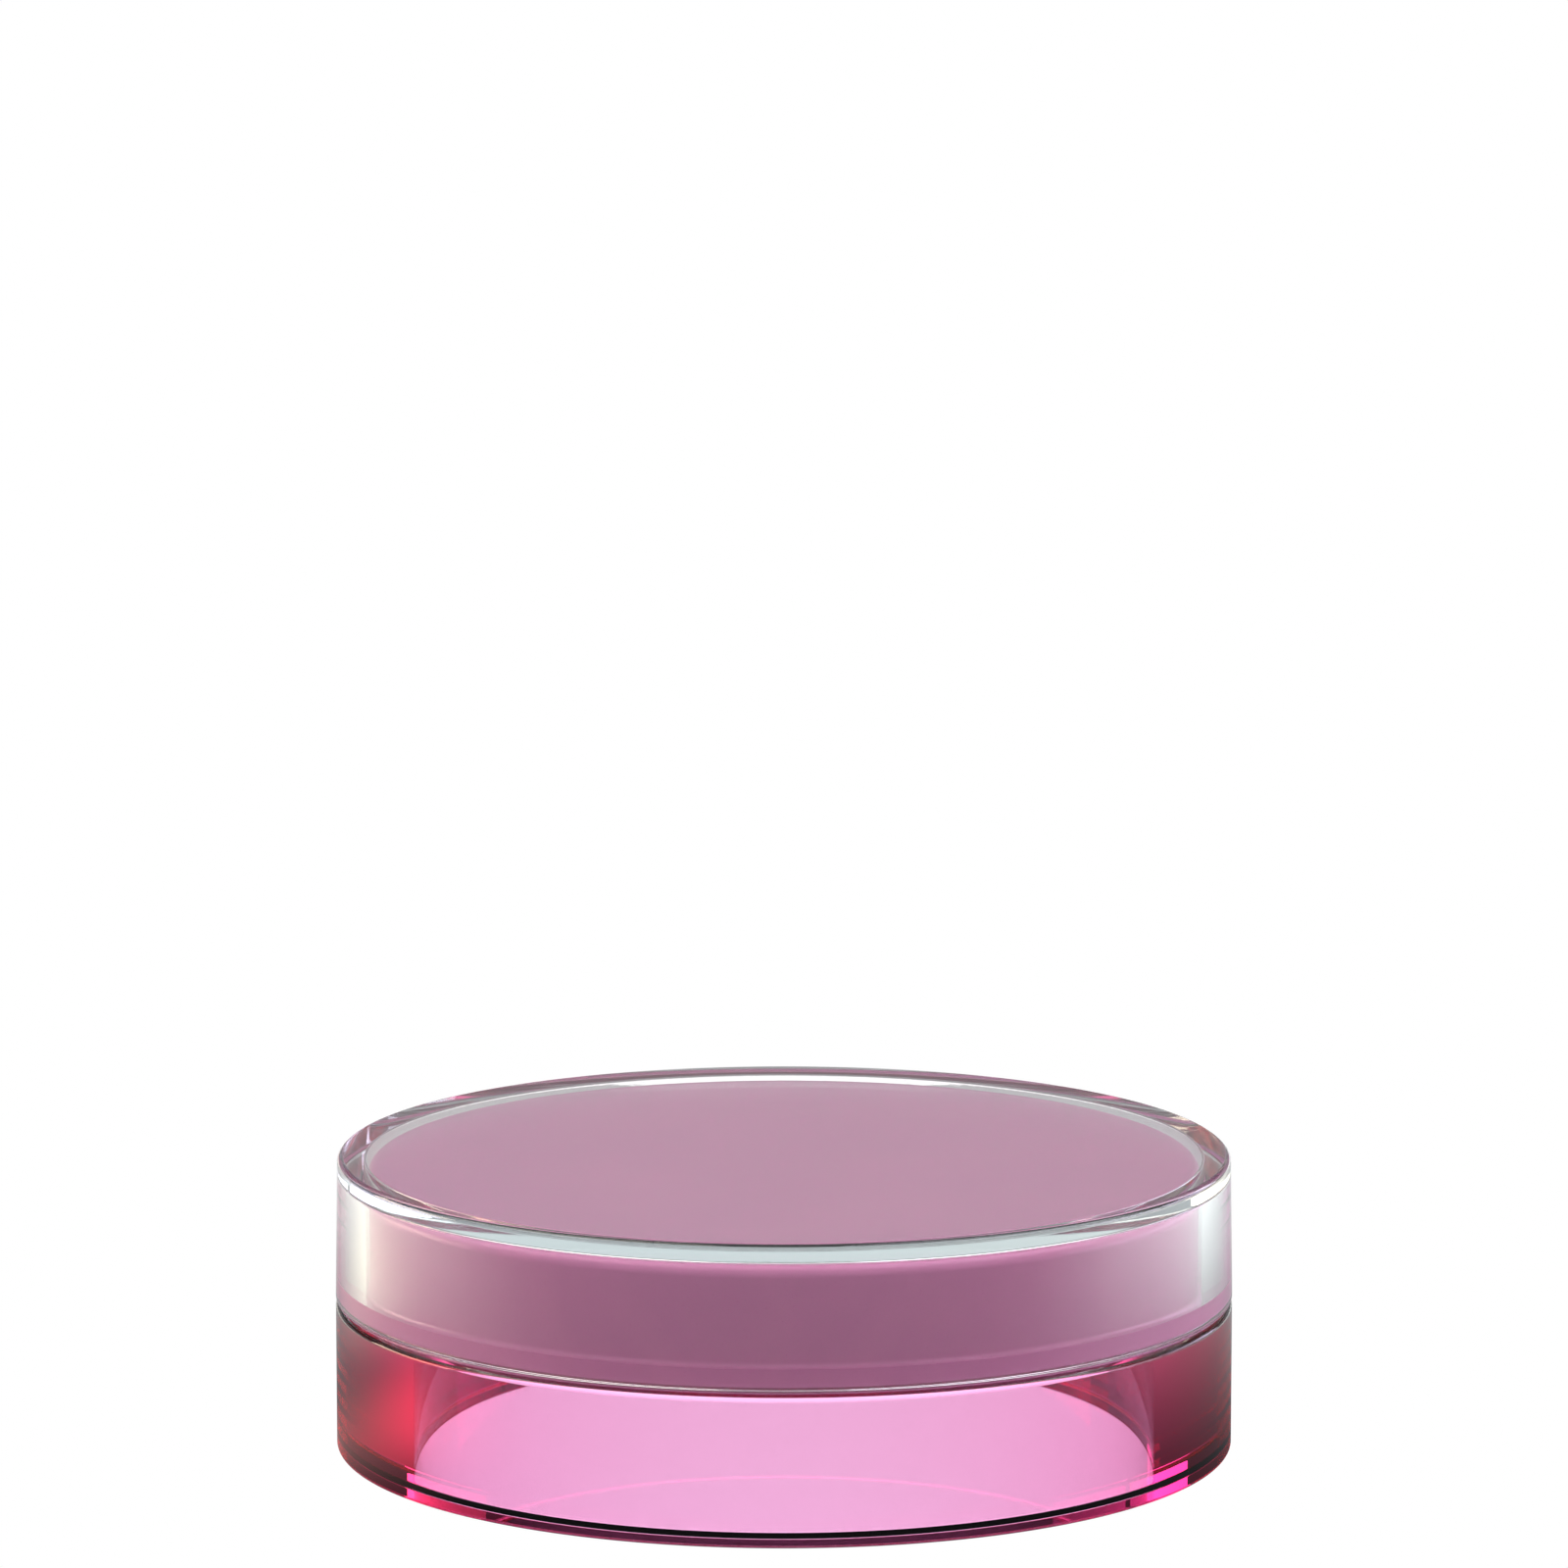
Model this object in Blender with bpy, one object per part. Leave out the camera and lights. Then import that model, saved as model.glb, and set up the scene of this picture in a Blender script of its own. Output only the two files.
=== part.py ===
"""A round lidded dappen dish: a thick-walled magenta cup under a clear cap with a mauve inner lid and its seal.

Metres, +Z up. The origin is the centre of the cup's underside, where the dish stands.
Every piece is turned about Z from half of its cross-section.
"""

import math

import bmesh
import bpy

# The cup
CUP_RADIUS = 0.0300
CUP_HEIGHT = 0.0098
CUP_WALL = 0.0051
CUP_FLOOR = 0.0002
CUP_RIM_ROUND = 0.0003
CUP_FOOT_ROUND = 0.00025
CUP_LIP_ROUND = 0.0002
CUP_FLOOR_ROUND = 0.0001

# The lid's clear shell
LID_HEIGHT = 0.0097
SHELL_WALL = 0.0019
SHELL_TOP = 0.0014
SHELL_DRAFT = math.radians(0.9)
SHELL_TOP_ROUND = 0.0004
SHELL_FOOT_ROUND = 0.0003
SHELL_MOUTH_ROUND = 0.0002
SHELL_CORNER_ROUND = 0.0002

# The mauve inner lid, a hollow cap with a collar round its foot and a stepped seat in its mouth
INSERT_WALL = 0.0020
INSERT_ROOF = 0.0016
INSERT_TOP_ROUND = 0.0008
INSERT_FOOT_ROUND = 0.0003
COLLAR_HEIGHT = 0.0014
COLLAR_STEP = 0.00015
SEAT_STEP = 0.0010

# The soft seal, a flange that fills the seat and lands on the cup's rim, and a plug that drops into the cup
FLANGE_HEIGHT = 0.0010
PLUG_DEPTH = 0.0012
PLUG_LEAD_IN = 0.0003

# Clearances between neighbours
SEAM_GAP = 0.0002
COLLAR_GAP = 0.00015
ROOF_GAP = 0.0003
SEAT_GAP = 0.0003
PLUG_GAP = 0.0004

# How finely round shapes are divided
TURN_STEPS = 72
ARC_STEPS = 3

# Places that follow from the sizes above
CUP_BORE = CUP_RADIUS - CUP_WALL
LID_FOOT = CUP_HEIGHT + SEAM_GAP
LID_TOP = LID_FOOT + LID_HEIGHT
SHELL_RADIUS = CUP_RADIUS
SHELL_TOP_RADIUS = SHELL_RADIUS - LID_HEIGHT * math.tan(SHELL_DRAFT)
SHELL_BORE = SHELL_RADIUS - SHELL_WALL
SHELL_ROOF = LID_TOP - SHELL_TOP
INSERT_TOP = SHELL_ROOF - ROOF_GAP
COLLAR_RADIUS = SHELL_BORE - COLLAR_GAP
INSERT_RADIUS = COLLAR_RADIUS - COLLAR_STEP
COLLAR_TOP = LID_FOOT + COLLAR_HEIGHT
INSERT_BORE = INSERT_RADIUS - INSERT_WALL
SEAT_RADIUS = INSERT_BORE + SEAT_STEP
SEAT_TOP = LID_FOOT + FLANGE_HEIGHT + SEAT_GAP
FLANGE_RADIUS = SEAT_RADIUS - SEAT_GAP
PLUG_RADIUS = CUP_BORE - PLUG_GAP
PLUG_FOOT = LID_FOOT - PLUG_DEPTH


def linear(hex_colour):
    """An sRGB hex colour as linear red, green, blue and alpha."""
    values = [int(hex_colour[i : i + 2], 16) / 255 for i in (1, 3, 5)]
    return [v / 12.92 if v <= 0.04045 else ((v + 0.055) / 1.055) ** 2.4 for v in values] + [1.0]


def plastic(name, hex_colour, roughness, transmission=0.0, ior=1.49):
    material = bpy.data.materials.new(name)
    material.use_nodes = True
    shader = material.node_tree.nodes["Principled BSDF"]
    shader.inputs["Base Color"].default_value = linear(hex_colour)
    shader.inputs["Metallic"].default_value = 0.0
    shader.inputs["Roughness"].default_value = roughness
    shader.inputs["IOR"].default_value = ior
    shader.inputs["Transmission Weight"].default_value = transmission
    return material


def arc(centre_radius, centre_height, radius, start, end):
    """Points along an arc in the section's plane. Angles are in degrees, from outwards towards up."""
    points = []
    for step in range(ARC_STEPS + 1):
        angle = math.radians(start + (end - start) * step / ARC_STEPS)
        across = centre_radius + radius * math.cos(angle)
        points.append((across, centre_height + radius * math.sin(angle)))
    return points


def turned(name, section, material):
    """A solid of revolution about Z. The section lists (radius, height), starts and ends on the axis
    and runs down its outer side."""
    mesh = bpy.data.meshes.new(name)
    outline = bmesh.new()
    corners = [outline.verts.new((radius, 0.0, height)) for radius, height in section]
    for corner, following in zip(corners, corners[1:]):
        outline.edges.new((corner, following))
    outline.to_mesh(mesh)
    outline.free()
    mesh.materials.append(material)
    piece = bpy.data.objects.new(name, mesh)
    bpy.context.scene.collection.objects.link(piece)
    screw = piece.modifiers.new("turn", "SCREW")
    screw.axis = "Z"
    screw.angle = math.tau
    screw.steps = TURN_STEPS
    screw.render_steps = TURN_STEPS
    screw.use_merge_vertices = True
    screw.merge_threshold = 0.00001
    screw.use_smooth_shade = True
    return piece


def make_cup():
    lip = CUP_LIP_ROUND
    floor = CUP_FLOOR_ROUND
    rim = CUP_RIM_ROUND
    foot = CUP_FOOT_ROUND
    section = [(0.0, CUP_FLOOR)]
    section += arc(CUP_BORE - floor, CUP_FLOOR + floor, floor, -90, 0)
    section += arc(CUP_BORE + lip, CUP_HEIGHT - lip, lip, 180, 90)
    section += arc(CUP_RADIUS - rim, CUP_HEIGHT - rim, rim, 90, 0)
    section += arc(CUP_RADIUS - foot, foot, foot, 0, -90)
    section += [(0.0, 0.0)]
    return turned("cup", section, plastic("magenta_acrylic", "#E8409C", 0.02, 1.0))


def make_lid_shell():
    top = SHELL_TOP_ROUND
    foot = SHELL_FOOT_ROUND
    mouth = SHELL_MOUTH_ROUND
    corner = SHELL_CORNER_ROUND
    section = [(0.0, LID_TOP)]
    section += arc(SHELL_TOP_RADIUS - top, LID_TOP - top, top, 90, 0)
    section += arc(SHELL_RADIUS - foot, LID_FOOT + foot, foot, 0, -90)
    section += arc(SHELL_BORE + mouth, LID_FOOT + mouth, mouth, -90, -180)
    section += arc(SHELL_BORE - corner, SHELL_ROOF - corner, corner, 0, 90)
    section += [(0.0, SHELL_ROOF)]
    return turned("lid_shell", section, plastic("clear_acrylic", "#F7FAFA", 0.02, 1.0))


def make_lid_insert():
    top = INSERT_TOP_ROUND
    foot = INSERT_FOOT_ROUND
    section = [(0.0, INSERT_TOP)]
    section += arc(INSERT_RADIUS - top, INSERT_TOP - top, top, 90, 0)
    section += [(INSERT_RADIUS, COLLAR_TOP + COLLAR_STEP)]
    section += [(COLLAR_RADIUS, COLLAR_TOP)]
    section += arc(COLLAR_RADIUS - foot, LID_FOOT + foot, foot, 0, -90)
    section += [(SEAT_RADIUS, LID_FOOT)]
    section += [(SEAT_RADIUS, SEAT_TOP)]
    section += [(INSERT_BORE, SEAT_TOP)]
    section += [(INSERT_BORE, INSERT_TOP - INSERT_ROOF)]
    section += [(0.0, INSERT_TOP - INSERT_ROOF)]
    return turned("lid_insert", section, plastic("mauve_abs", "#B98DA8", 0.35))


def make_seal_plug():
    section = [(0.0, LID_FOOT + FLANGE_HEIGHT)]
    section += [(FLANGE_RADIUS, LID_FOOT + FLANGE_HEIGHT)]
    section += [(FLANGE_RADIUS, LID_FOOT)]
    section += [(PLUG_RADIUS, LID_FOOT)]
    section += [(PLUG_RADIUS, PLUG_FOOT + PLUG_LEAD_IN)]
    section += [(PLUG_RADIUS - PLUG_LEAD_IN, PLUG_FOOT)]
    section += [(0.0, PLUG_FOOT)]
    return turned("seal_plug", section, plastic("mauve_silicone", "#9C7490", 0.5))


def main():
    for leftover in list(bpy.data.objects):
        bpy.data.objects.remove(leftover, do_unlink=True)
    make_cup()
    make_lid_shell()
    make_lid_insert()
    make_seal_plug()


main()
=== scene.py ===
import math

import bmesh
import bpy
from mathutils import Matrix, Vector


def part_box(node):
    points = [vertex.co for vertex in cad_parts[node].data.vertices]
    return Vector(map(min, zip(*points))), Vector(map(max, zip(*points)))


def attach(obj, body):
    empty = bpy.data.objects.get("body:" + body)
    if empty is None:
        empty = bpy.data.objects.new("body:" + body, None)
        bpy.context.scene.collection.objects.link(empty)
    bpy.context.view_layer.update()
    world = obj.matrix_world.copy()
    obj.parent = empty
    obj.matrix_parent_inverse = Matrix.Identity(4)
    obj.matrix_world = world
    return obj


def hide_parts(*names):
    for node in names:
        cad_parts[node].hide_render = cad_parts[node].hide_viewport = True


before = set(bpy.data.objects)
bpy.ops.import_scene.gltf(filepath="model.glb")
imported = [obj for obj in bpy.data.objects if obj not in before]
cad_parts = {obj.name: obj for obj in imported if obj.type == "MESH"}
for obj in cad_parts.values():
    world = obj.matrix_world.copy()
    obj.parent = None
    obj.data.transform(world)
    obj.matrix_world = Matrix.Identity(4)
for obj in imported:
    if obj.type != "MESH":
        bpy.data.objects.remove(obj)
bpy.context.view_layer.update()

MM = 0.001
WHITE = (1.0, 1.0, 1.0, 1.0)

# Outer sizes, read from the frame
CUP_LOW, CUP_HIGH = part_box("cup")
SHELL_LOW, SHELL_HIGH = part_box("lid_shell")
_, INSERT_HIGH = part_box("lid_insert")
SEAL_LOW, SEAL_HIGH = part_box("seal_plug")
CUP_RADIUS = CUP_HIGH.x
RIM = CUP_HIGH.z
LID_FOOT = SHELL_LOW.z
LID_TOP = SHELL_HIGH.z
FLANGE_RADIUS = SEAL_HIGH.x

# The cup's wall and floor
CUP_WALL = 5.1 * MM
CUP_BORE = CUP_RADIUS - CUP_WALL
CUP_FLOOR = 0.2 * MM
FLOOR_ROUND = 0.06 * MM
LIP_ROUND = 0.2 * MM
RIM_ROUND = 0.3 * MM
CUP_FOOT_ROUND = 0.25 * MM

# The clear shell's wall, top and draft
SHELL_WALL = 1.9 * MM
SHELL_TOP = 1.4 * MM
SHELL_DRAFT = math.radians(0.9)
SHELL_BORE = CUP_RADIUS - SHELL_WALL
SHELL_ROOF = LID_TOP - SHELL_TOP
SHELL_TOP_RADIUS = CUP_RADIUS - (LID_TOP - LID_FOOT) * math.tan(SHELL_DRAFT)
SHELL_TOP_ROUND = 0.4 * MM
SHELL_FOOT_ROUND = 0.3 * MM
SHELL_MOUTH_ROUND = 0.2 * MM
SHELL_CORNER_ROUND = 0.2 * MM

# The inner lid. Its collar is pressed against the shell's wall, so no film of air is left between them,
# and meets the wall above it in a small cove.
INSERT_GAP = 0.3 * MM
INSERT_WALL = 2.0 * MM
INSERT_TOP = 1.6 * MM
COLLAR_PRESS = 0.02 * MM
COLLAR_HEIGHT = 1.4 * MM
COLLAR_COVE = 0.35 * MM
COVE_END = 235
SEAT_STEP = 1.0 * MM
SEAT_GAP = 0.3 * MM
INSERT_RADIUS = SHELL_BORE - INSERT_GAP
COLLAR_RADIUS = SHELL_BORE + COLLAR_PRESS
COLLAR_TOP = LID_FOOT + COLLAR_HEIGHT
INSERT_TOP_ROUND = 0.8 * MM
INSERT_FOOT_ROUND = 0.2 * MM
INSERT_BORE = INSERT_RADIUS - INSERT_WALL
INSERT_ROOF = INSERT_HIGH.z - INSERT_TOP
SEAT_RADIUS = INSERT_BORE + SEAT_STEP
SEAT_TOP = SEAL_HIGH.z + SEAT_GAP

# The seal, whose plug drops into the cup
PLUG_GAP = 0.1 * MM
PLUG_RADIUS = CUP_BORE - PLUG_GAP
PLUG_LEAD_IN = 0.3 * MM
FLANGE_ROUND = 0.15 * MM

# How finely round shapes are divided, how close to its ends a long run gets its two points of support,
# and the bend that shading leaves as an edge
TURN_STEPS = 256
ARC_STEPS = 12
SUPPORT = 0.03 * MM
LONG_RUN = 8 * SUPPORT
EDGE_BEND = math.radians(30)

# How the plastics bend light
ACRYLIC_IOR = 1.49
ABS_IOR = 1.53
SILICONE_IOR = 1.41

# The share of red, green and blue light that each millimetre of acrylic takes
MAGENTA_DYE = (0.014, 0.260, 0.130)
CLEAR_TINT = (0.0032, 0.0012, 0.0010)
DYE_MARGIN = 1.02


def linear(hex_colour):
    """An sRGB hex colour as linear red, green, blue and alpha."""
    values = [int(hex_colour[i : i + 2], 16) / 255 for i in (1, 3, 5)]
    return [v / 12.92 if v <= 0.04045 else ((v + 0.055) / 1.055) ** 2.4 for v in values] + [1.0]


def add(tree, kind, settings=None, inputs=None, links=None):
    """Adds a node, with its settings, its inputs' values and the sockets that its inputs are fed from."""
    node = tree.nodes.new(kind)
    for name, value in (settings or {}).items():
        setattr(node, name, value)
    for name, value in (inputs or {}).items():
        node.inputs[name].default_value = value
    for name, socket in (links or {}).items():
        tree.links.new(socket, node.inputs[name])
    return node


# Sockets of a colour Mix node, which shares its names between kinds of value
MIX_FACTOR, MIX_A, MIX_B, MIX_RESULT = 0, 6, 7, 2


def set_stops(ramp, stops):
    """Gives a colour ramp its stops, each a position and a colour, in order."""
    elements = ramp.color_ramp.elements
    while len(elements) < len(stops):
        elements.new(0.5)
    for element, (position, colour) in zip(elements, stops):
        element.position = position
        element.color = colour


def new_material(name):
    """A material with its Principled shader."""
    material = bpy.data.materials.new(name)
    material.use_nodes = True
    return material, material.node_tree, material.node_tree.nodes["Principled BSDF"]


# ---- finishes -------------------------------------------------------------------------------------------


def polished_relief(tree, draw_line_width, wave_width, depth):
    """The faint relief that a polished mould leaves: soft waves, and draw lines down a round wall."""
    drawn_down = (1, 1, 0.02)
    place = add(tree, "ShaderNodeTexCoord").outputs["Object"]
    around = add(tree, "ShaderNodeVectorMath", {"operation": "MULTIPLY"}, {1: drawn_down}, {0: place})
    lines = add(
        tree,
        "ShaderNodeTexNoise",
        inputs={"Scale": 1 / draw_line_width, "Detail": 2.0, "Roughness": 0.6},
        links={"Vector": around.outputs[0]},
    )
    waves = add(
        tree,
        "ShaderNodeTexNoise",
        inputs={"Scale": 1 / wave_width, "Detail": 1.0},
        links={"Vector": place},
    )
    relief = add(
        tree,
        "ShaderNodeMath",
        {"operation": "ADD"},
        links={0: lines.outputs[0], 1: waves.outputs[0]},
    )
    return add(
        tree,
        "ShaderNodeBump",
        inputs={"Strength": 0.5, "Distance": depth},
        links={"Height": relief.outputs[0]},
    ).outputs["Normal"]


def absorb(tree, per_mm):
    """Dye all through the acrylic, as the share of each colour of light that a millimetre takes."""
    most = max(per_mm) * DYE_MARGIN
    volume = add(
        tree,
        "ShaderNodeVolumeAbsorption",
        inputs={"Color": [1 - share / most for share in per_mm] + [1.0], "Density": most / MM},
    )
    tree.links.new(volume.outputs[0], tree.nodes["Material Output"].inputs["Volume"])


def polished_acrylic(name, dye):
    """Acrylic with an optical polish, coloured only by what its thickness takes from the light."""
    material, tree, shader = new_material(name)
    shader.inputs["Base Color"].default_value = WHITE
    shader.inputs["Roughness"].default_value = 0.0
    shader.inputs["IOR"].default_value = ACRYLIC_IOR
    shader.inputs["Transmission Weight"].default_value = 1.0
    absorb(tree, dye)
    return material, tree, shader


def magenta_acrylic():
    """PMMA dyed magenta all through, injection moulded in a polished tool.

    The colour lives in the thickness: the thin floor is next to clear, and the long way through the
    wall a deep crimson. Only the mould's draw lines show, as faint streaks.
    """
    material, tree, shader = polished_acrylic("magenta_acrylic", MAGENTA_DYE)
    relief = polished_relief(tree, draw_line_width=0.6 * MM, wave_width=9 * MM, depth=0.0006 * MM)
    tree.links.new(relief, shader.inputs["Normal"])
    return material


def clear_acrylic():
    """Water-clear PMMA, injection moulded in a polished tool: glass-like, with the faintest cool tint."""
    material, tree, shader = polished_acrylic("clear_acrylic", CLEAR_TINT)
    relief = polished_relief(tree, draw_line_width=0.8 * MM, wave_width=11 * MM, depth=0.0004 * MM)
    tree.links.new(relief, shader.inputs["Normal"])
    return material


def mauve_abs():
    """Satin ABS moulded against a fine spark-eroded tool.

    The pigment is even, with a soft cloud of flow marks a few millimetres across. The grain is too fine
    to see except as the softness of its shine.
    """
    material, tree, shader = new_material("mauve_abs")
    place = add(tree, "ShaderNodeTexCoord").outputs["Object"]
    cloud = add(
        tree,
        "ShaderNodeTexNoise",
        inputs={"Scale": 1 / (7 * MM), "Detail": 3.0, "Roughness": 0.55, "Distortion": 0.6},
        links={"Vector": place},
    )
    pigment = add(tree, "ShaderNodeValToRGB", links={"Fac": cloud.outputs[0]})
    set_stops(pigment, ((0.36, linear("#DE83B7")), (0.66, linear("#E287B9"))))
    tree.links.new(pigment.outputs[0], shader.inputs["Base Color"])
    grain = add(
        tree,
        "ShaderNodeTexNoise",
        inputs={"Scale": 1 / (0.12 * MM), "Detail": 4.0, "Roughness": 0.65},
        links={"Vector": place},
    )
    satin = add(
        tree,
        "ShaderNodeMapRange",
        inputs={"From Min": 0.3, "From Max": 0.7, "To Min": 0.26, "To Max": 0.36},
        links={"Value": grain.outputs[0]},
    )
    tree.links.new(satin.outputs[0], shader.inputs["Roughness"])
    bump = add(
        tree,
        "ShaderNodeBump",
        inputs={"Strength": 0.35, "Distance": 0.004 * MM},
        links={"Height": grain.outputs[0]},
    )
    tree.links.new(bump.outputs[0], shader.inputs["Normal"])
    shader.inputs["IOR"].default_value = ABS_IOR
    return material


def mauve_silicone():
    """Soft silicone cast in a blasted mould: matt, with a faint bloom."""
    material, tree, shader = new_material("mauve_silicone")
    place = add(tree, "ShaderNodeTexCoord").outputs["Object"]
    bloom = add(
        tree,
        "ShaderNodeTexNoise",
        inputs={"Scale": 1 / (4 * MM), "Detail": 3.0, "Roughness": 0.5},
        links={"Vector": place},
    )
    pigment = add(tree, "ShaderNodeValToRGB", links={"Fac": bloom.outputs[0]})
    set_stops(pigment, ((0.35, linear("#4A2A40")), (0.65, linear("#503046"))))
    tree.links.new(pigment.outputs[0], shader.inputs["Base Color"])
    blasted = add(
        tree,
        "ShaderNodeTexNoise",
        inputs={"Scale": 1 / (0.15 * MM), "Detail": 3.0, "Roughness": 0.6},
        links={"Vector": place},
    )
    matt = add(
        tree,
        "ShaderNodeMapRange",
        inputs={"From Min": 0.3, "From Max": 0.7, "To Min": 0.7, "To Max": 0.85},
        links={"Value": blasted.outputs[0]},
    )
    tree.links.new(matt.outputs[0], shader.inputs["Roughness"])
    bump = add(
        tree,
        "ShaderNodeBump",
        inputs={"Strength": 0.4, "Distance": 0.006 * MM},
        links={"Height": blasted.outputs[0]},
    )
    tree.links.new(bump.outputs[0], shader.inputs["Normal"])
    shader.inputs["IOR"].default_value = SILICONE_IOR
    shader.inputs["Specular IOR Level"].default_value = 0.08
    return material


# ---- turning a section into a piece ---------------------------------------------------------------------


def arc(centre_radius, centre_height, radius, start, end):
    """Points along an arc in the section's plane. Angles are in degrees, from outwards towards up."""
    points = []
    for step in range(ARC_STEPS + 1):
        angle = math.radians(start + (end - start) * step / ARC_STEPS)
        across = centre_radius + radius * math.cos(angle)
        points.append((across, centre_height + radius * math.sin(angle)))
    return points


def with_support(section):
    """Adds a point just inside both ends of each long run, so that smooth shading stays true along it."""
    points = [section[0]]
    for here, there in zip(section, section[1:]):
        length = math.dist(here, there)
        if length > LONG_RUN:
            for share in (SUPPORT / length, 1 - SUPPORT / length):
                points.append(tuple(a + (b - a) * share for a, b in zip(here, there)))
        points.append(there)
    return points


def turned(name, section, material):
    """A piece turned about Z from its section, which starts and ends on the axis and runs down outside."""
    turning = bmesh.new()
    rings = []
    for radius, height in with_support(section):
        angles = [math.tau * step / TURN_STEPS for step in range(TURN_STEPS)] if radius > 0 else [0.0]
        corners = [(radius * math.cos(a), radius * math.sin(a), height) for a in angles]
        rings.append([turning.verts.new(corner) for corner in corners])
    for upper, lower in zip(rings, rings[1:]):
        for step in range(TURN_STEPS):
            following = (step + 1) % TURN_STEPS
            above = [upper[following], upper[step]] if len(upper) > 1 else [upper[0]]
            below = [lower[step], lower[following]] if len(lower) > 1 else [lower[0]]
            turning.faces.new(above + below)
    mesh = bpy.data.meshes.new(name)
    turning.to_mesh(mesh)
    turning.free()
    mesh.materials.append(material)
    mesh.shade_smooth()
    mesh.set_sharp_from_angle(angle=EDGE_BEND)
    piece = bpy.data.objects.new(name, mesh)
    bpy.context.scene.collection.objects.link(piece)
    return piece


# ---- the pieces -----------------------------------------------------------------------------------------


def make_cup():
    section = [(0.0, CUP_FLOOR)]
    section += arc(CUP_BORE - FLOOR_ROUND, CUP_FLOOR + FLOOR_ROUND, FLOOR_ROUND, -90, 0)
    section += arc(CUP_BORE + LIP_ROUND, RIM - LIP_ROUND, LIP_ROUND, 180, 90)
    section += arc(CUP_RADIUS - RIM_ROUND, RIM - RIM_ROUND, RIM_ROUND, 90, 0)
    section += arc(CUP_RADIUS - CUP_FOOT_ROUND, CUP_FOOT_ROUND, CUP_FOOT_ROUND, 0, -90)
    section += [(0.0, 0.0)]
    return turned("magenta_cup", section, magenta_acrylic())


def make_lid_shell():
    top = SHELL_TOP_ROUND
    foot = SHELL_FOOT_ROUND
    mouth = SHELL_MOUTH_ROUND
    corner = SHELL_CORNER_ROUND
    section = [(0.0, LID_TOP)]
    section += arc(SHELL_TOP_RADIUS - top, LID_TOP - top, top, 90, 0)
    section += arc(CUP_RADIUS - foot, LID_FOOT + foot, foot, 0, -90)
    section += arc(SHELL_BORE + mouth, LID_FOOT + mouth, mouth, -90, -180)
    section += arc(SHELL_BORE - corner, SHELL_ROOF - corner, corner, 0, 90)
    section += [(0.0, SHELL_ROOF)]
    return turned("clear_lid_shell", section, clear_acrylic())


def make_inner_lid():
    top = INSERT_TOP_ROUND
    foot = INSERT_FOOT_ROUND
    cove = COLLAR_COVE
    section = [(0.0, INSERT_HIGH.z)]
    section += arc(INSERT_RADIUS - top, INSERT_HIGH.z - top, top, 90, 0)
    section += arc(INSERT_RADIUS + cove, COLLAR_TOP + cove, cove, 180, COVE_END)
    section += [(COLLAR_RADIUS, COLLAR_TOP)]
    section += [(COLLAR_RADIUS, LID_FOOT + SHELL_MOUTH_ROUND)]
    section += arc(INSERT_RADIUS - foot, LID_FOOT + foot, foot, 0, -90)
    section += [(SEAT_RADIUS, LID_FOOT)]
    section += [(SEAT_RADIUS, SEAT_TOP)]
    section += [(INSERT_BORE, SEAT_TOP)]
    section += [(INSERT_BORE, INSERT_ROOF)]
    section += [(0.0, INSERT_ROOF)]
    return turned("mauve_inner_lid", section, mauve_abs())


def make_seal():
    edge = FLANGE_ROUND
    section = [(0.0, SEAL_HIGH.z)]
    section += arc(FLANGE_RADIUS - edge, SEAL_HIGH.z - edge, edge, 90, 0)
    section += arc(FLANGE_RADIUS - edge, LID_FOOT + edge, edge, 0, -90)
    section += [(PLUG_RADIUS, LID_FOOT)]
    section += [(PLUG_RADIUS, SEAL_LOW.z + PLUG_LEAD_IN)]
    section += [(PLUG_RADIUS - PLUG_LEAD_IN, SEAL_LOW.z)]
    section += [(0.0, SEAL_LOW.z)]
    return turned("soft_seal", section, mauve_silicone())


# ---- the studio -----------------------------------------------------------------------------------------

# What the dish sees of the table, all painted into its glow: a painted shadow close by, painted light that
# is dull in front, warm towards the far left and cool towards the far right, and a painted bright spot
# under the cup's floor
TABLE_SIZE = 6.0
TABLE_SHADE = (0.10, 0.09, 0.10, 1.0)
PAINTED_LIGHT_FAR_LEFT = (1.55, 1.46, 1.34, 1.0)
PAINTED_LIGHT_LEFT = (0.80, 0.81, 0.80, 1.0)
PAINTED_LIGHT_RIGHT = (0.74, 0.77, 0.78, 1.0)
PAINTED_LIGHT_FAR_RIGHT = (1.70, 1.80, 1.80, 1.0)
PAINTED_LIGHT_SIDES = ((0.0, PAINTED_LIGHT_FAR_LEFT), (0.3, PAINTED_LIGHT_LEFT), (0.7, PAINTED_LIGHT_RIGHT), (1.0, PAINTED_LIGHT_FAR_RIGHT))
PAINTED_LIGHT_FRONT = (0.46, 0.45, 0.47, 1.0)
SHADE_END = CUP_RADIUS + 56 * MM
SIDES_REACH = 120 * MM
FRONT_REACH = 70 * MM
UNDER_CUP_LIGHT = (1.72, 3.20, 2.65, 1.0)
SPOT_EDGE = 0.4 * MM
AIR_UNDER_CUP = 0.1 * MM

# Soft pools of light on the table: colour, centre and reach
WARM_POOL = ((1.30, 0.56, 0.54, 1.0), (-47 * MM, -8 * MM, 0.0), 28 * MM)
CREAM_POOL = ((1.40, 1.30, 1.10, 1.0), (-76 * MM, 30 * MM, 0.0), 36 * MM)

# Greys of the room, by the sine of the angle that one looks up by, and how much bluer than grey they are
ROOM_BEHIND = ((0.0, 0.38), (0.215, 0.37), (0.228, 0.06), (0.40, 0.08), (0.60, 0.9), (0.80, 1.15))
ROOM_IN_FRONT = ((0.0, 0.38), (0.20, 0.38), (0.60, 0.95), (0.80, 1.15))
ROOM_BLUENESS = 1.03

# Where the room in front fades into the room behind, from -1 straight in front to 1 straight behind
FRONT_ENDS = -0.6
BACK_STARTS = 0.4

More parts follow.
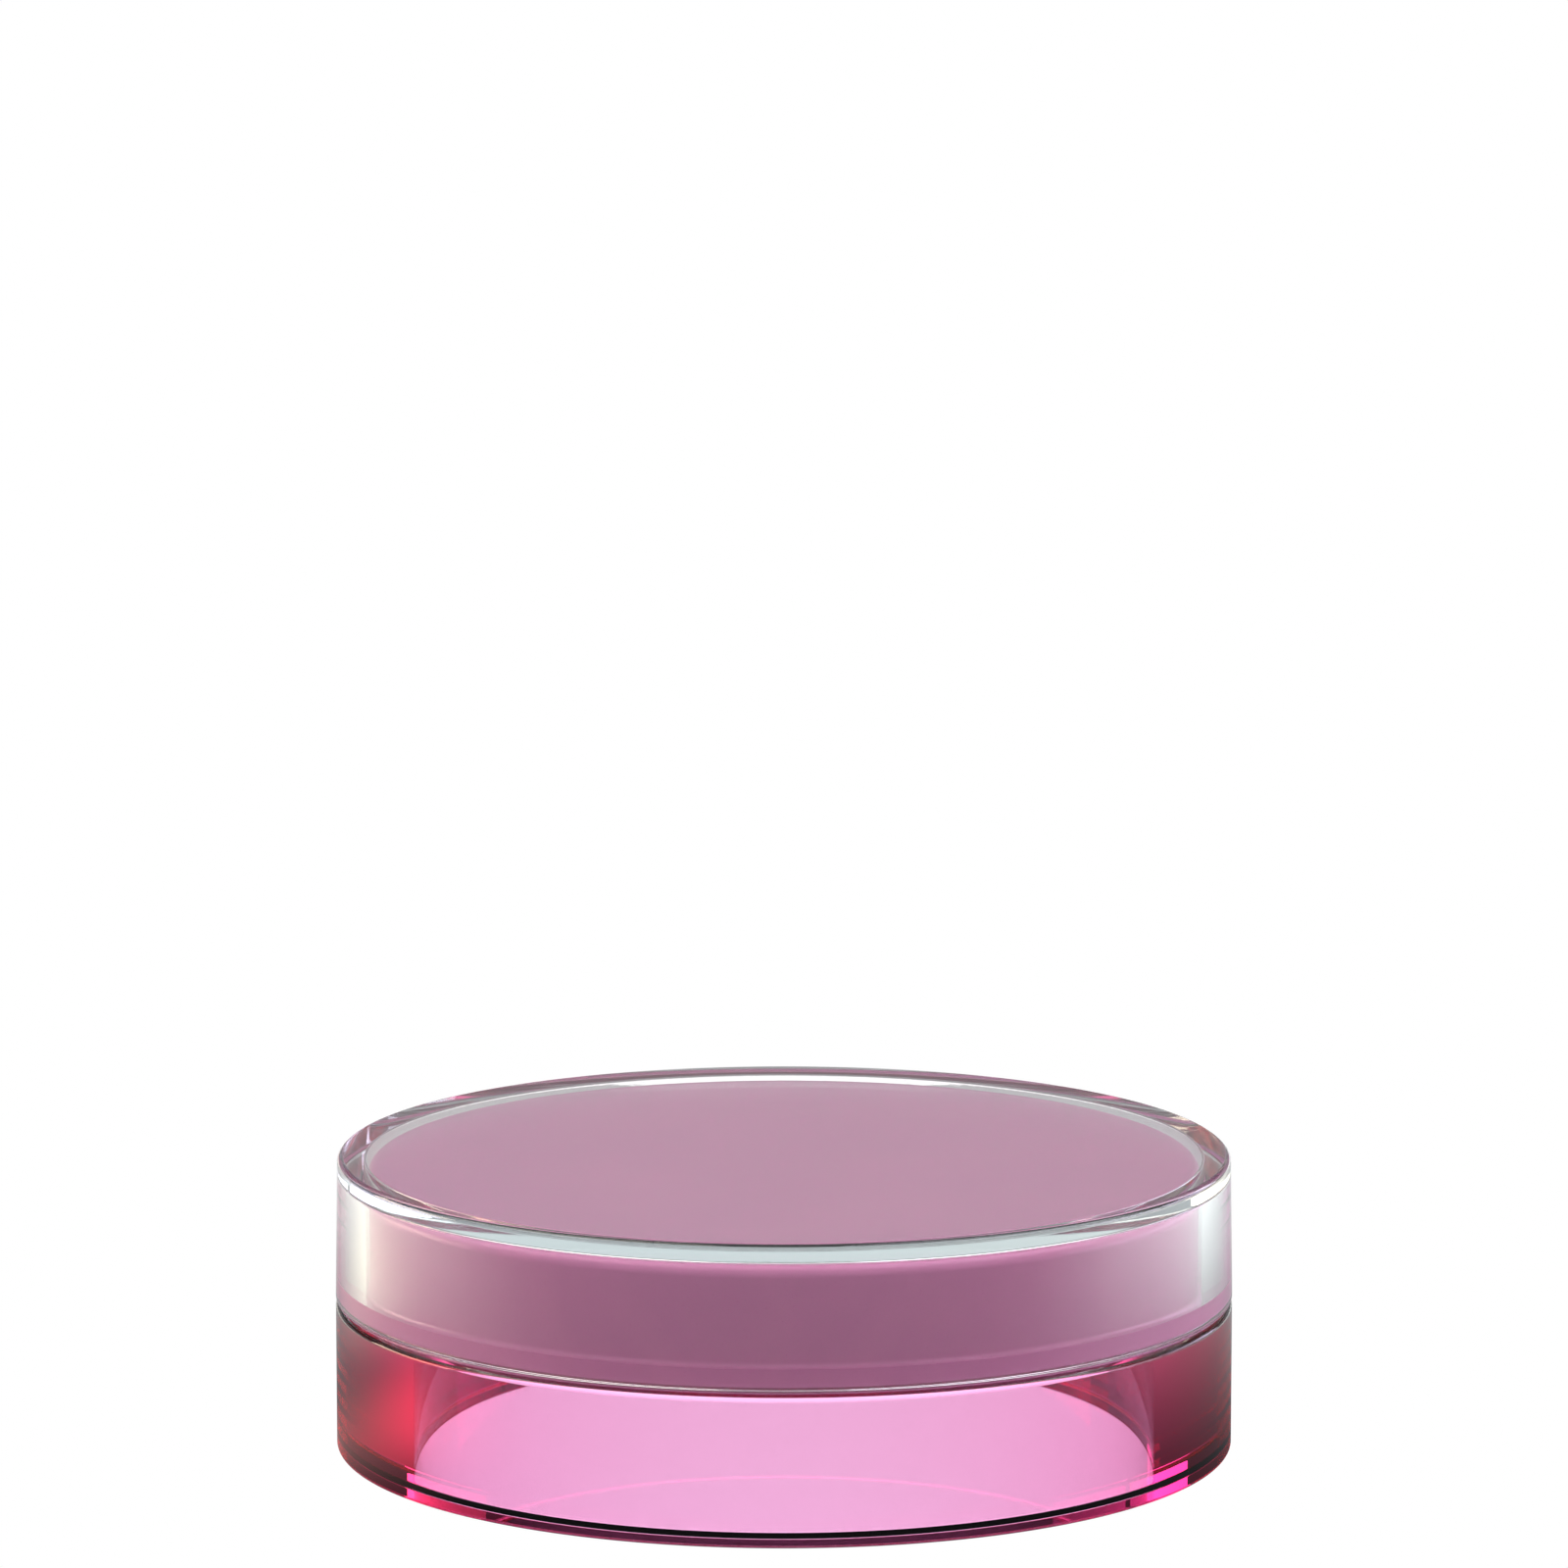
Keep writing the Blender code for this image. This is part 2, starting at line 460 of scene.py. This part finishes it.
# The cards that light the dish: how many degrees to the left of straight behind the dish, and up, they
# hang, how many degrees wide and high they look from the dish, and their colour and strength
CARD_DISTANCE = 1.0
CARDS = (
    ("warm_window", 70, 12, 34, 18, "#FFEAD0", 5.5),
    ("cool_window", -52, 14, 30, 16, "#F0E2FF", 4.0),
    ("side_window", -84, 12, 28, 18, "#F2ECFF", 4.0),
    ("high_left", 90, 60, 42, 42, "#FFFAF4", 3.1),
    ("high_right", -90, 60, 42, 42, "#F8F6FF", 3.4),
)

# The white card that lies on the table behind the dish
WHITE_CARD_WIDTH = 92 * MM
WHITE_CARD_DEPTH = 188 * MM
WHITE_CARD_BEHIND = 206 * MM
WHITE_CARD_LIFT = 0.3 * MM
WHITE_CARD_STRENGTH = 2.15

# The camera, a long lens that looks slightly down on the dish
CAMERA_DISTANCE = 17.71512 * CUP_RADIUS
CAMERA_HEIGHT = 4.28976 * CUP_RADIUS
CAMERA_TILT = math.radians(81)
CAMERA_LENS = 186.08
CAMERA_SENSOR = 36
CAMERA_NEAREST = 0.01
CAMERA_FARTHEST = 20

# How often light may bounce: inside the acrylic, off a mirror and off a dull surface
BOUNCES_INSIDE = 32
BOUNCES_MIRRORED = 16
BOUNCES_DULL = 6


def glowing(name, colour, strength):
    """A material that gives light."""
    material, tree, shader = new_material(name)
    tree.nodes.remove(shader)
    glow = add(tree, "ShaderNodeEmission", inputs={"Color": colour, "Strength": strength})
    tree.links.new(glow.outputs[0], tree.nodes["Material Output"].inputs["Surface"])
    return material, tree, glow


def flat_panel(name, width, depth, material):
    """A flat panel centred on its own origin, facing up, that isn't part of the dish."""
    x = width / 2
    y = depth / 2
    mesh = bpy.data.meshes.new(name)
    mesh.from_pydata([(-x, -y, 0), (x, -y, 0), (x, y, 0), (-x, y, 0)], [], [(0, 1, 2, 3)])
    mesh.materials.append(material)
    panel = bpy.data.objects.new(name, mesh)
    bpy.context.scene.collection.objects.link(panel)
    return panel


def light_pool(tree, place, beyond, pool):
    """A round pool of light on the table that fades out into the colour beyond it."""
    colour, centre, reach = pool
    away = add(tree, "ShaderNodeVectorMath", {"operation": "DISTANCE"}, {1: centre}, {0: place})
    fading = add(
        tree,
        "ShaderNodeMapRange",
        {"interpolation_type": "SMOOTHSTEP"},
        {"From Min": 0.0, "From Max": reach},
        {"Value": away.outputs["Value"]},
    )
    pooled = add(
        tree,
        "ShaderNodeMix",
        {"data_type": "RGBA"},
        {MIX_A: colour},
        {MIX_FACTOR: fading.outputs[0], MIX_B: beyond},
    )
    return pooled.outputs[MIX_RESULT]


def lay_table():
    """A glowing tabletop, white to the eye, with painted light and painted shade in its glow that the dish
    shows in its walls.
    """
    material, tree, glow = glowing("pale_table_painted_light", WHITE, 1.0)
    place = add(tree, "ShaderNodeNewGeometry").outputs["Position"]
    away = add(tree, "ShaderNodeVectorMath", {"operation": "LENGTH"}, links={0: place})
    edge = add(
        tree,
        "ShaderNodeMapRange",
        inputs={"From Min": CUP_BORE, "From Max": CUP_BORE + SPOT_EDGE},
        links={"Value": away.outputs["Value"]},
    )
    # Painted light across the table: warm and bright far to the left, cool and bright far to the right,
    # dull in front
    spread = add(tree, "ShaderNodeSeparateXYZ", links={0: place})
    side = add(
        tree,
        "ShaderNodeMapRange",
        inputs={"From Min": -SIDES_REACH, "From Max": SIDES_REACH},
        links={"Value": spread.outputs["X"]},
    )
    painted_side_light = add(tree, "ShaderNodeValToRGB", links={"Fac": side.outputs[0]})
    set_stops(painted_side_light, PAINTED_LIGHT_SIDES)
    back = add(
        tree,
        "ShaderNodeMapRange",
        {"interpolation_type": "SMOOTHSTEP"},
        {"From Min": -FRONT_REACH, "From Max": 0.0},
        {"Value": spread.outputs["Y"]},
    )
    around = add(
        tree,
        "ShaderNodeMix",
        {"data_type": "RGBA"},
        {MIX_A: PAINTED_LIGHT_FRONT},
        {MIX_FACTOR: back.outputs[0], MIX_B: painted_side_light.outputs[0]},
    )
    # Painted shadow of the dish: the table glows darkest at the cup's edge and brightens out to SHADE_END
    clear_of_dish = add(
        tree,
        "ShaderNodeMapRange",
        inputs={"From Min": CUP_RADIUS, "From Max": SHADE_END},
        links={"Value": away.outputs["Value"]},
    )
    shaded = add(
        tree,
        "ShaderNodeMix",
        {"data_type": "RGBA"},
        {MIX_A: TABLE_SHADE},
        {MIX_FACTOR: clear_of_dish.outputs[0], MIX_B: around.outputs[MIX_RESULT]},
    )
    # Painted pools of warm and cream light on the table
    glows = light_pool(tree, place, shaded.outputs[MIX_RESULT], WARM_POOL)
    glows = light_pool(tree, place, glows, CREAM_POOL)
    # Painted light: a bright spot on the table under the cup's floor
    lit = add(
        tree,
        "ShaderNodeMix",
        {"data_type": "RGBA"},
        {MIX_A: UNDER_CUP_LIGHT},
        {MIX_FACTOR: edge.outputs[0], MIX_B: glows},
    )
    seen = add(
        tree,
        "ShaderNodeMix",
        {"data_type": "RGBA"},
        {MIX_B: WHITE},
        {
            MIX_FACTOR: add(tree, "ShaderNodeLightPath").outputs["Is Camera Ray"],
            MIX_A: lit.outputs[MIX_RESULT],
        },
    )
    tree.links.new(seen.outputs[MIX_RESULT], glow.inputs["Color"])
    table = flat_panel("table", TABLE_SIZE, TABLE_SIZE, material)
    table.location.z = CUP_LOW.z - AIR_UNDER_CUP


def fill_room():
    """Soft light from all round, bright overhead, with a dark curtain low down behind the dish."""
    world = bpy.data.worlds.new("studio")
    bpy.context.scene.world = world
    world.use_nodes = True
    tree = world.node_tree
    direction = add(tree, "ShaderNodeTexCoord").outputs["Generated"]
    parts = add(tree, "ShaderNodeSeparateXYZ", links={0: direction})
    halves = []
    for greys in (ROOM_IN_FRONT, ROOM_BEHIND):
        half = add(tree, "ShaderNodeValToRGB", links={"Fac": parts.outputs["Z"]})
        set_stops(half, [(height, (grey, grey, grey * ROOM_BLUENESS, 1.0)) for height, grey in greys])
        halves.append(half)
    behind = add(
        tree,
        "ShaderNodeMapRange",
        {"interpolation_type": "SMOOTHSTEP"},
        {"From Min": FRONT_ENDS, "From Max": BACK_STARTS},
        {"Value": parts.outputs["Y"]},
    )
    room = add(
        tree,
        "ShaderNodeMix",
        {"data_type": "RGBA"},
        links={
            MIX_FACTOR: behind.outputs[0],
            MIX_A: halves[0].outputs["Color"],
            MIX_B: halves[1].outputs["Color"],
        },
    )
    seen = add(
        tree,
        "ShaderNodeMix",
        {"data_type": "RGBA"},
        {MIX_B: WHITE},
        {
            MIX_FACTOR: add(tree, "ShaderNodeLightPath").outputs["Is Camera Ray"],
            MIX_A: room.outputs[MIX_RESULT],
        },
    )
    tree.links.new(seen.outputs[MIX_RESULT], tree.nodes["Background"].inputs["Color"])


def hang_card(name, azimuth, elevation, width, height, hex_colour, strength):
    """Hangs a glowing card that faces the dish. All of its angles are in degrees, seen from the dish."""
    material, _, _ = glowing(name, linear(hex_colour), strength)
    across = 2 * CARD_DISTANCE * math.tan(math.radians(width) / 2)
    upright = 2 * CARD_DISTANCE * math.tan(math.radians(height) / 2)
    card = flat_panel(name, across, upright, material)
    turn = math.radians(azimuth)
    rise = math.radians(elevation)
    level = math.cos(rise)
    towards_card = Vector((-math.sin(turn) * level, math.cos(turn) * level, math.sin(rise)))
    card.location = towards_card * CARD_DISTANCE
    card.rotation_euler = (-towards_card).to_track_quat("Z", "Y").to_euler()


def lay_white_card():
    """A white card behind the dish brightens the far edge of the clear lid."""
    material, _, _ = glowing("white_card", WHITE, WHITE_CARD_STRENGTH)
    card = flat_panel("white_card", WHITE_CARD_WIDTH, WHITE_CARD_DEPTH, material)
    card.location = (0, WHITE_CARD_BEHIND, WHITE_CARD_LIFT)
    card.visible_camera = False


def set_camera():
    camera = bpy.data.cameras.new("camera")
    camera.lens = CAMERA_LENS
    camera.sensor_width = CAMERA_SENSOR
    camera.clip_start = CAMERA_NEAREST
    camera.clip_end = CAMERA_FARTHEST
    tripod = bpy.data.objects.new("camera", camera)
    bpy.context.scene.collection.objects.link(tripod)
    tripod.location = (0, -CAMERA_DISTANCE, CAMERA_HEIGHT)
    tripod.rotation_euler = (CAMERA_TILT, 0, 0)
    bpy.context.scene.camera = tripod


def set_light_paths():
    """Light bounces many times inside thick acrylic before it comes out."""
    scene = bpy.context.scene
    scene.view_settings.view_transform = "Standard"
    scene.cycles.max_bounces = BOUNCES_INSIDE
    scene.cycles.transmission_bounces = BOUNCES_INSIDE
    scene.cycles.glossy_bounces = BOUNCES_MIRRORED
    scene.cycles.diffuse_bounces = BOUNCES_DULL


def dress(piece, body, node):
    """Puts a finished piece in place of its solid."""
    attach(piece, body)
    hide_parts(node)


def main():
    dress(make_cup(), "cup", "cup")
    dress(make_lid_shell(), "lid", "lid_shell")
    dress(make_inner_lid(), "lid", "lid_insert")
    dress(make_seal(), "lid", "seal_plug")
    lay_table()
    fill_room()
    for card in CARDS:
        hang_card(*card)
    lay_white_card()
    set_camera()
    set_light_paths()


main()
